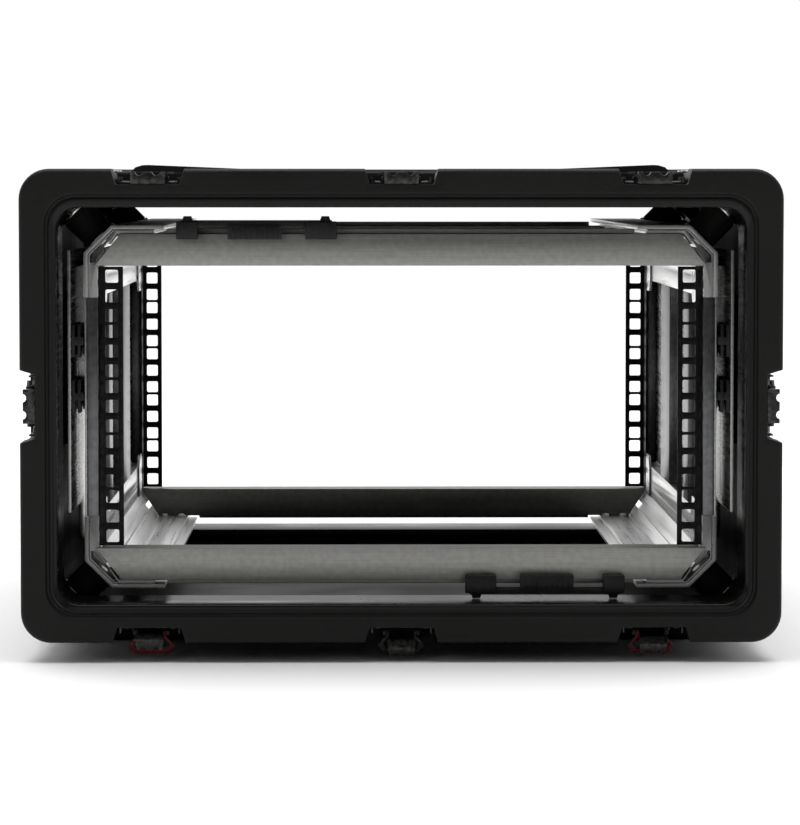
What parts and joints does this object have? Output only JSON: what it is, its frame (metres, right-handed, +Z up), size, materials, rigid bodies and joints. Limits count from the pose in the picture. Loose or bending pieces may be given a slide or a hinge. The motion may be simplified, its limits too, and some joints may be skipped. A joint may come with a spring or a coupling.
{
  "type": "equipment rack case",
  "caption": "Black moulded transit case with open ends, holding a shock-mounted, slide-out 19-inch rack cage with twist latches and folding carry handles",
  "frame": {"origin": "on the floor under the feet, midway between the sides and between the two open ends", "axes": "+X to the right as seen from the front opening, +Y from the front opening to the rear one, +Z up"},
  "size_m": [0.603, 0.7456, 0.3944],
  "materials": {
    "moulded_shell": "pebbled rotation-moulded polyethylene",
    "latch_steel": "black pressed steel with bright worn edges",
    "latch_black": "black plated steel",
    "black_steel": "black powder coat",
    "black_aluminium": "black anodised",
    "zinc_steel": "bright zinc",
    "spring_steel": "oiled spring steel",
    "handle_grip": "overmoulded rubber on black steel wire",
    "isolator_rubber": "soft black rubber",
    "polished_aluminium": "bright extruded aluminium",
    "brushed_aluminium": "satin brushed, grey",
    "black_nylon": "moulded nylon"
  },
  "bodies": {
    "case": {"case_shell": "moulded_shell", "latch_dishes": "latch_steel", "latch_rivets": "latch_steel", "latch_claws_rear": "latch_steel", "handle_plates": "black_steel", "handle_screws": "zinc_steel", "handle_springs": "spring_steel", "shock_brackets": "black_steel", "shock_isolators": "isolator_rubber", "mount_hardware": "zinc_steel", "runners": "polished_aluminium", "frame_sides": "polished_aluminium", "frame_posts": "polished_aluminium", "glide_blocks": "black_nylon"},
    "cage": {"corner_rails": "polished_aluminium", "cross_bar_front_top": "brushed_aluminium", "cross_bar_front_bottom": "brushed_aluminium", "cross_bar_rear_top": "brushed_aluminium", "cross_bar_rear_bottom": "brushed_aluminium", "rack_rail_right_front": "black_steel", "rack_rail_right_rear": "black_steel", "rack_rail_left_front": "black_steel", "rack_rail_left_rear": "black_steel", "side_posts": "black_aluminium", "side_panels": "polished_aluminium", "gusset_plates": "polished_aluminium", "cage_bolts": "zinc_steel", "lock_guides": "black_nylon", "lock_spring_top": "spring_steel", "lock_spring_bottom": "spring_steel"},
    "lock_bar_top": {"lock_bar_top": "black_nylon"},
    "lock_bar_bottom": {"lock_bar_bottom": "black_nylon"},
    "handle_right_front": {"carry_handle_right_front": "handle_grip"},
    "handle_right_rear": {"carry_handle_right_rear": "handle_grip"},
    "handle_left_front": {"carry_handle_left_front": "handle_grip"},
    "handle_left_rear": {"carry_handle_left_rear": "handle_grip"},
    "twist_front_top_left": {"latch_handle_front_top_left": "latch_black"},
    "claw_front_top_left": {"latch_claw_front_top_left": "latch_steel"},
    "twist_front_bottom_left": {"latch_handle_front_bottom_left": "latch_black"},
    "claw_front_bottom_left": {"latch_claw_front_bottom_left": "latch_steel"},
    "twist_front_top_middle": {"latch_handle_front_top_middle": "latch_black"},
    "claw_front_top_middle": {"latch_claw_front_top_middle": "latch_steel"},
    "twist_front_bottom_middle": {"latch_handle_front_bottom_middle": "latch_black"},
    "claw_front_bottom_middle": {"latch_claw_front_bottom_middle": "latch_steel"},
    "twist_front_top_right": {"latch_handle_front_top_right": "latch_black"},
    "claw_front_top_right": {"latch_claw_front_top_right": "latch_steel"},
    "twist_front_bottom_right": {"latch_handle_front_bottom_right": "latch_black"},
    "claw_front_bottom_right": {"latch_claw_front_bottom_right": "latch_steel"},
    "twist_front_side_right": {"latch_handle_front_side_right": "latch_black"},
    "claw_front_side_right": {"latch_claw_front_side_right": "latch_steel"},
    "twist_front_side_left": {"latch_handle_front_side_left": "latch_black"},
    "claw_front_side_left": {"latch_claw_front_side_left": "latch_steel"},
    "twist_rear_top_left": {"latch_handle_rear_top_left": "latch_black"},
    "twist_rear_bottom_left": {"latch_handle_rear_bottom_left": "latch_black"},
    "twist_rear_top_middle": {"latch_handle_rear_top_middle": "latch_black"},
    "twist_rear_bottom_middle": {"latch_handle_rear_bottom_middle": "latch_black"},
    "twist_rear_top_right": {"latch_handle_rear_top_right": "latch_black"},
    "twist_rear_bottom_right": {"latch_handle_rear_bottom_right": "latch_black"},
    "twist_rear_side_right": {"latch_handle_rear_side_right": "latch_black"},
    "twist_rear_side_left": {"latch_handle_rear_side_left": "latch_black"}
  },
  "joints": [
    {"name": "cage_slide", "type": "slide", "parent": "case", "child": "cage", "axis": [0, -1, 0], "range_m": [0, 0.32]},
    {"name": "lock_top_press", "type": "slide", "parent": "cage", "child": "lock_bar_top", "axis": [0, 0, -1], "range_m": [0, 0.006], "stiffness_N_per_m": 300, "springref_m": -0.01, "deforming": ["lock_spring_top"]},
    {"name": "lock_bottom_press", "type": "slide", "parent": "cage", "child": "lock_bar_bottom", "axis": [0, 0, 1], "range_m": [0, 0.006], "stiffness_N_per_m": 300, "springref_m": -0.01, "deforming": ["lock_spring_bottom"]},
    {"name": "handle_right_front_lift", "type": "hinge", "parent": "case", "child": "handle_right_front", "pos_m": [0.2911, -0.11, 0.2575], "axis": [0, -1, 0], "range_deg": [0, 90], "stiffness_Nm_per_rad": 0.3, "springref_deg": -17.19},
    {"name": "handle_right_rear_lift", "type": "hinge", "parent": "case", "child": "handle_right_rear", "pos_m": [0.2911, 0.11, 0.2575], "axis": [0, -1, 0], "range_deg": [0, 90], "stiffness_Nm_per_rad": 0.3, "springref_deg": -17.19},
    {"name": "handle_left_front_lift", "type": "hinge", "parent": "case", "child": "handle_left_front", "pos_m": [-0.2911, -0.11, 0.2575], "axis": [0, 1, 0], "range_deg": [0, 90], "stiffness_Nm_per_rad": 0.3, "springref_deg": -17.19},
    {"name": "handle_left_rear_lift", "type": "hinge", "parent": "case", "child": "handle_left_rear", "pos_m": [-0.2911, 0.11, 0.2575], "axis": [0, 1, 0], "range_deg": [0, 90], "stiffness_Nm_per_rad": 0.3, "springref_deg": -17.19},
    {"name": "twist_front_top_left_turn", "type": "hinge", "parent": "case", "child": "twist_front_top_left", "pos_m": [-0.2, -0.3308, 0.3825], "axis": [0, 0, 1], "range_deg": [0, 180]},
    {"name": "claw_front_top_left_slide", "type": "slide", "parent": "case", "child": "claw_front_top_left", "axis": [0, -1, 0], "range_m": [0, 0.00785]},
    {"name": "twist_front_bottom_left_turn", "type": "hinge", "parent": "case", "child": "twist_front_bottom_left", "pos_m": [-0.2, -0.3308, 0.0245], "axis": [0, 0, -1], "range_deg": [0, 180]},
    {"name": "claw_front_bottom_left_slide", "type": "slide", "parent": "case", "child": "claw_front_bottom_left", "axis": [0, -1, 0], "range_m": [0, 0.00785]},
    {"name": "twist_front_top_middle_turn", "type": "hinge", "parent": "case", "child": "twist_front_top_middle", "pos_m": [0, -0.3308, 0.3825], "axis": [0, 0, 1], "range_deg": [0, 180]},
    {"name": "claw_front_top_middle_slide", "type": "slide", "parent": "case", "child": "claw_front_top_middle", "axis": [0, -1, 0], "range_m": [0, 0.00785]},
    {"name": "twist_front_bottom_middle_turn", "type": "hinge", "parent": "case", "child": "twist_front_bottom_middle", "pos_m": [0, -0.3308, 0.0245], "axis": [0, 0, -1], "range_deg": [0, 180]},
    {"name": "claw_front_bottom_middle_slide", "type": "slide", "parent": "case", "child": "claw_front_bottom_middle", "axis": [0, -1, 0], "range_m": [0, 0.00785]},
    {"name": "twist_front_top_right_turn", "type": "hinge", "parent": "case", "child": "twist_front_top_right", "pos_m": [0.2, -0.3308, 0.3825], "axis": [0, 0, 1], "range_deg": [0, 180]},
    {"name": "claw_front_top_right_slide", "type": "slide", "parent": "case", "child": "claw_front_top_right", "axis": [0, -1, 0], "range_m": [0, 0.00785]},
    {"name": "twist_front_bottom_right_turn", "type": "hinge", "parent": "case", "child": "twist_front_bottom_right", "pos_m": [0.2, -0.3308, 0.0245], "axis": [0, 0, -1], "range_deg": [0, 180]},
    {"name": "claw_front_bottom_right_slide", "type": "slide", "parent": "case", "child": "claw_front_bottom_right", "axis": [0, -1, 0], "range_m": [0, 0.00785]},
    {"name": "twist_front_side_right_turn", "type": "hinge", "parent": "case", "child": "twist_front_side_right", "pos_m": [0.293, -0.3308, 0.2035], "axis": [1, 0, 0], "range_deg": [0, 180]},
    {"name": "claw_front_side_right_slide", "type": "slide", "parent": "case", "child": "claw_front_side_right", "axis": [0, -1, 0], "range_m": [0, 0.00785]},
    {"name": "twist_front_side_left_turn", "type": "hinge", "parent": "case", "child": "twist_front_side_left", "pos_m": [-0.293, -0.3308, 0.2035], "axis": [-1, 0, 0], "range_deg": [0, 180]},
    {"name": "claw_front_side_left_slide", "type": "slide", "parent": "case", "child": "claw_front_side_left", "axis": [0, -1, 0], "range_m": [0, 0.00785]},
    {"name": "twist_rear_top_left_turn", "type": "hinge", "parent": "case", "child": "twist_rear_top_left", "pos_m": [-0.2, 0.3308, 0.3825], "axis": [0, 0, 1], "range_deg": [0, 180]},
    {"name": "twist_rear_bottom_left_turn", "type": "hinge", "parent": "case", "child": "twist_rear_bottom_left", "pos_m": [-0.2, 0.3308, 0.0245], "axis": [0, 0, -1], "range_deg": [0, 180]},
    {"name": "twist_rear_top_middle_turn", "type": "hinge", "parent": "case", "child": "twist_rear_top_middle", "pos_m": [0, 0.3308, 0.3825], "axis": [0, 0, 1], "range_deg": [0, 180]},
    {"name": "twist_rear_bottom_middle_turn", "type": "hinge", "parent": "case", "child": "twist_rear_bottom_middle", "pos_m": [0, 0.3308, 0.0245], "axis": [0, 0, -1], "range_deg": [0, 180]},
    {"name": "twist_rear_top_right_turn", "type": "hinge", "parent": "case", "child": "twist_rear_top_right", "pos_m": [0.2, 0.3308, 0.3825], "axis": [0, 0, 1], "range_deg": [0, 180]},
    {"name": "twist_rear_bottom_right_turn", "type": "hinge", "parent": "case", "child": "twist_rear_bottom_right", "pos_m": [0.2, 0.3308, 0.0245], "axis": [0, 0, -1], "range_deg": [0, 180]},
    {"name": "twist_rear_side_right_turn", "type": "hinge", "parent": "case", "child": "twist_rear_side_right", "pos_m": [0.293, 0.3308, 0.2035], "axis": [1, 0, 0], "range_deg": [0, 180]},
    {"name": "twist_rear_side_left_turn", "type": "hinge", "parent": "case", "child": "twist_rear_side_left", "pos_m": [-0.293, 0.3308, 0.2035], "axis": [-1, 0, 0], "range_deg": [0, 180]}
  ],
  "couplings": [
    {"joint": "twist_front_top_left_turn", "follows": "claw_front_top_left_slide", "rad_per_m": 400},
    {"joint": "twist_front_bottom_left_turn", "follows": "claw_front_bottom_left_slide", "rad_per_m": 400},
    {"joint": "twist_front_top_middle_turn", "follows": "claw_front_top_middle_slide", "rad_per_m": 400},
    {"joint": "twist_front_bottom_middle_turn", "follows": "claw_front_bottom_middle_slide", "rad_per_m": 400},
    {"joint": "twist_front_top_right_turn", "follows": "claw_front_top_right_slide", "rad_per_m": 400},
    {"joint": "twist_front_bottom_right_turn", "follows": "claw_front_bottom_right_slide", "rad_per_m": 400},
    {"joint": "twist_front_side_right_turn", "follows": "claw_front_side_right_slide", "rad_per_m": 400},
    {"joint": "twist_front_side_left_turn", "follows": "claw_front_side_left_slide", "rad_per_m": 400}
  ]
}
